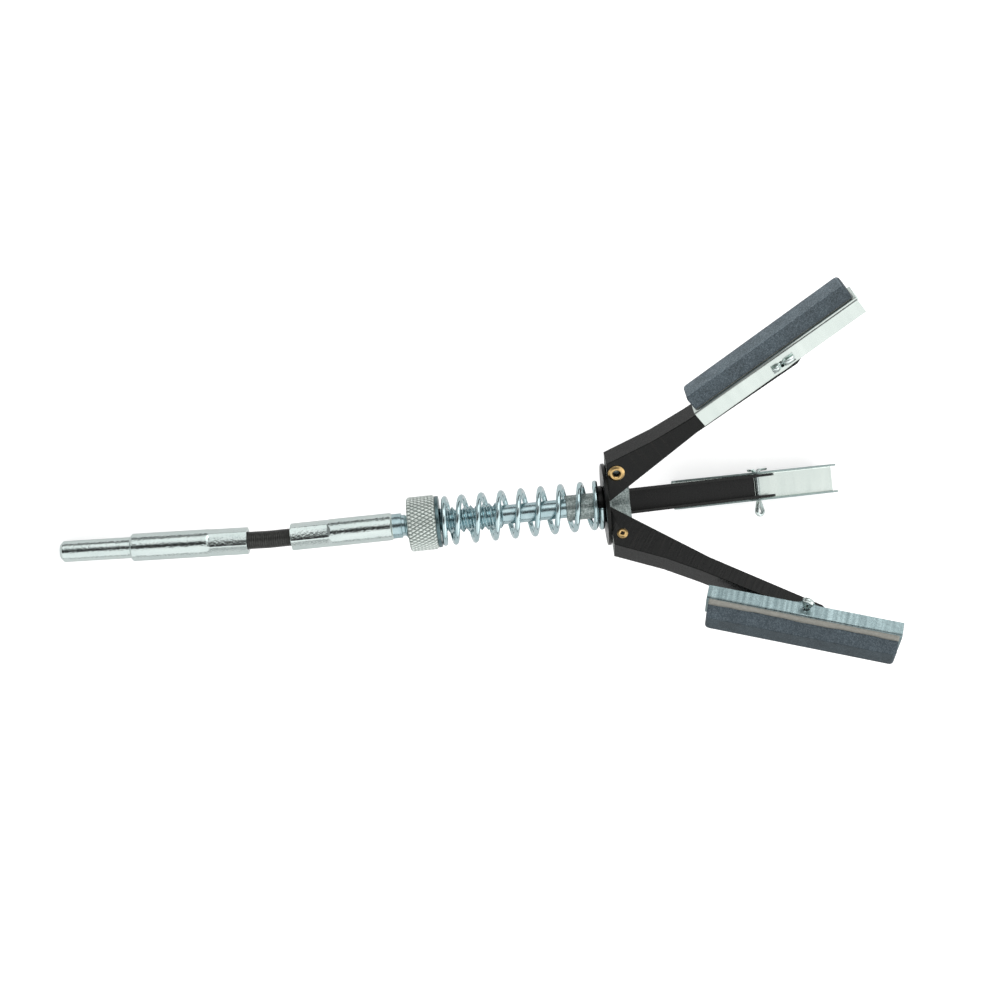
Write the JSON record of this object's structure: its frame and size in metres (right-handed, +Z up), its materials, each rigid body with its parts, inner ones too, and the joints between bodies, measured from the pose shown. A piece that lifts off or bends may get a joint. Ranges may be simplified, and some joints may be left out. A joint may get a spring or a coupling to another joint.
{
  "type": "cylinder hone",
  "caption": "Spring-loaded cylinder hone: abrasive stones in hinged channel holders on spreading legs, a knurled tension nut and a flexible drive shank",
  "frame": {"origin": "middle of the outer face of the stone that the tool lies on, on the table", "axes": "X runs level from the shank towards the stones along the tool's length, Z is up from the table, Y completes the right-handed set; the tool's own axis rises towards the hub in the XZ plane"},
  "size_m": [0.2337, 0.1045, 0.0834],
  "materials": {
    "turned_steel": "bright zinc plate on turned steel",
    "cable_steel": "dark oiled wound cable",
    "spring_steel": "bright zinc plate on spring wire",
    "black_steel": "gloss black",
    "hub_metal": "dull grey with a fine speckle",
    "rivet_brass": "plain brass, slightly dulled",
    "zinc_plate": "bright zinc plate on pressed sheet",
    "cement": "matt beige-grey",
    "abrasive": "matt fine-grained slate blue-grey"
  },
  "bodies": {
    "spindle": {"threaded_spindle": "turned_steel", "hub": "hub_metal", "flexible_shaft": "cable_steel", "compression_spring": "spring_steel"},
    "shank": {"drive_shank": "turned_steel"},
    "plate": {"spreader_plate": "black_steel", "plate_bush": "black_steel"},
    "washer": {"spring_washer": "turned_steel"},
    "nut": {"adjusting_nut": "turned_steel"},
    "leg_a": {"leg_a": "black_steel", "pivot_rivet_a": "rivet_brass", "cotter_pin_a": "zinc_plate"},
    "holder_a": {"stone_holder_a": "zinc_plate", "stone_cement_a": "cement", "abrasive_stone_a": "abrasive"},
    "leg_b": {"leg_b": "black_steel", "pivot_rivet_b": "rivet_brass", "cotter_pin_b": "zinc_plate"},
    "holder_b": {"stone_holder_b": "zinc_plate", "stone_cement_b": "cement", "abrasive_stone_b": "abrasive"},
    "leg_c": {"leg_c": "black_steel", "pivot_rivet_c": "rivet_brass", "cotter_pin_c": "zinc_plate"},
    "holder_c": {"stone_holder_c": "zinc_plate", "stone_cement_c": "cement", "abrasive_stone_c": "abrasive"}
  },
  "joints": [
    {"name": "shank_bend", "type": "hinge", "parent": "spindle", "child": "shank", "pos_m": [-0.1494, 0, 0.0157], "axis": [-0.2192, 0, 0.9757], "range_deg": [-17.2, 22.8], "stiffness_Nm_per_rad": 0.8, "deforming": ["flexible_shaft"]},
    {"name": "leg_a_swing", "type": "hinge", "parent": "spindle", "child": "leg_a", "pos_m": [-0.0545, 0.01022, 0.04307], "axis": [0.1898, 0.5, -0.845], "range_deg": [0, 27.8]},
    {"name": "holder_a_swing", "type": "hinge", "parent": "leg_a", "child": "holder_a", "pos_m": [-0.01284, 0.03486, 0.06702], "axis": [-0.1898, -0.5, 0.845], "range_deg": [-30, 0.4]},
    {"name": "leg_b_swing", "type": "hinge", "parent": "spindle", "child": "leg_b", "pos_m": [-0.05062, 0, 0.0258], "axis": [0, -1, 0], "range_deg": [0, 27.8], "stiffness_Nm_per_rad": 0.24, "springref_deg": -33.23},
    {"name": "holder_b_swing", "type": "hinge", "parent": "leg_b", "child": "holder_b", "pos_m": [0.0004, 0, 0.0081], "axis": [0, 1, 0], "range_deg": [-8.86, 21.54]},
    {"name": "leg_c_swing", "type": "hinge", "parent": "spindle", "child": "leg_c", "pos_m": [-0.0545, -0.01022, 0.04307], "axis": [-0.1898, 0.5, 0.845], "range_deg": [0, 27.8]},
    {"name": "holder_c_swing", "type": "hinge", "parent": "leg_c", "child": "holder_c", "pos_m": [-0.01284, -0.03486, 0.06702], "axis": [0.1898, -0.5, -0.845], "range_deg": [-15.3, 15.1]},
    {"name": "plate_slide", "type": "slide", "parent": "spindle", "child": "plate", "axis": [-0.9757, 0, -0.2192], "range_m": [0, 0.0043], "deforming": ["compression_spring"]},
    {"name": "washer_slide", "type": "slide", "parent": "spindle", "child": "washer", "axis": [0.9757, 0, 0.2192], "range_m": [0, 0.016], "deforming": ["compression_spring"]},
    {"name": "nut_spin", "type": "hinge", "parent": "washer", "child": "nut", "pos_m": [-0.10711, 0, 0.02521], "axis": [0.9757, 0, 0.2192], "range_deg": [0, 3294]}
  ],
  "couplings": [
    {"joint": "leg_a_swing", "follows": "leg_b_swing", "ratio": 1},
    {"joint": "leg_c_swing", "follows": "leg_b_swing", "ratio": 1},
    {"joint": "plate_slide", "follows": "leg_b_swing", "m_per_rad": 0.0086},
    {"joint": "nut_spin", "follows": "washer_slide", "rad_per_m": 3590.4}
  ]
}
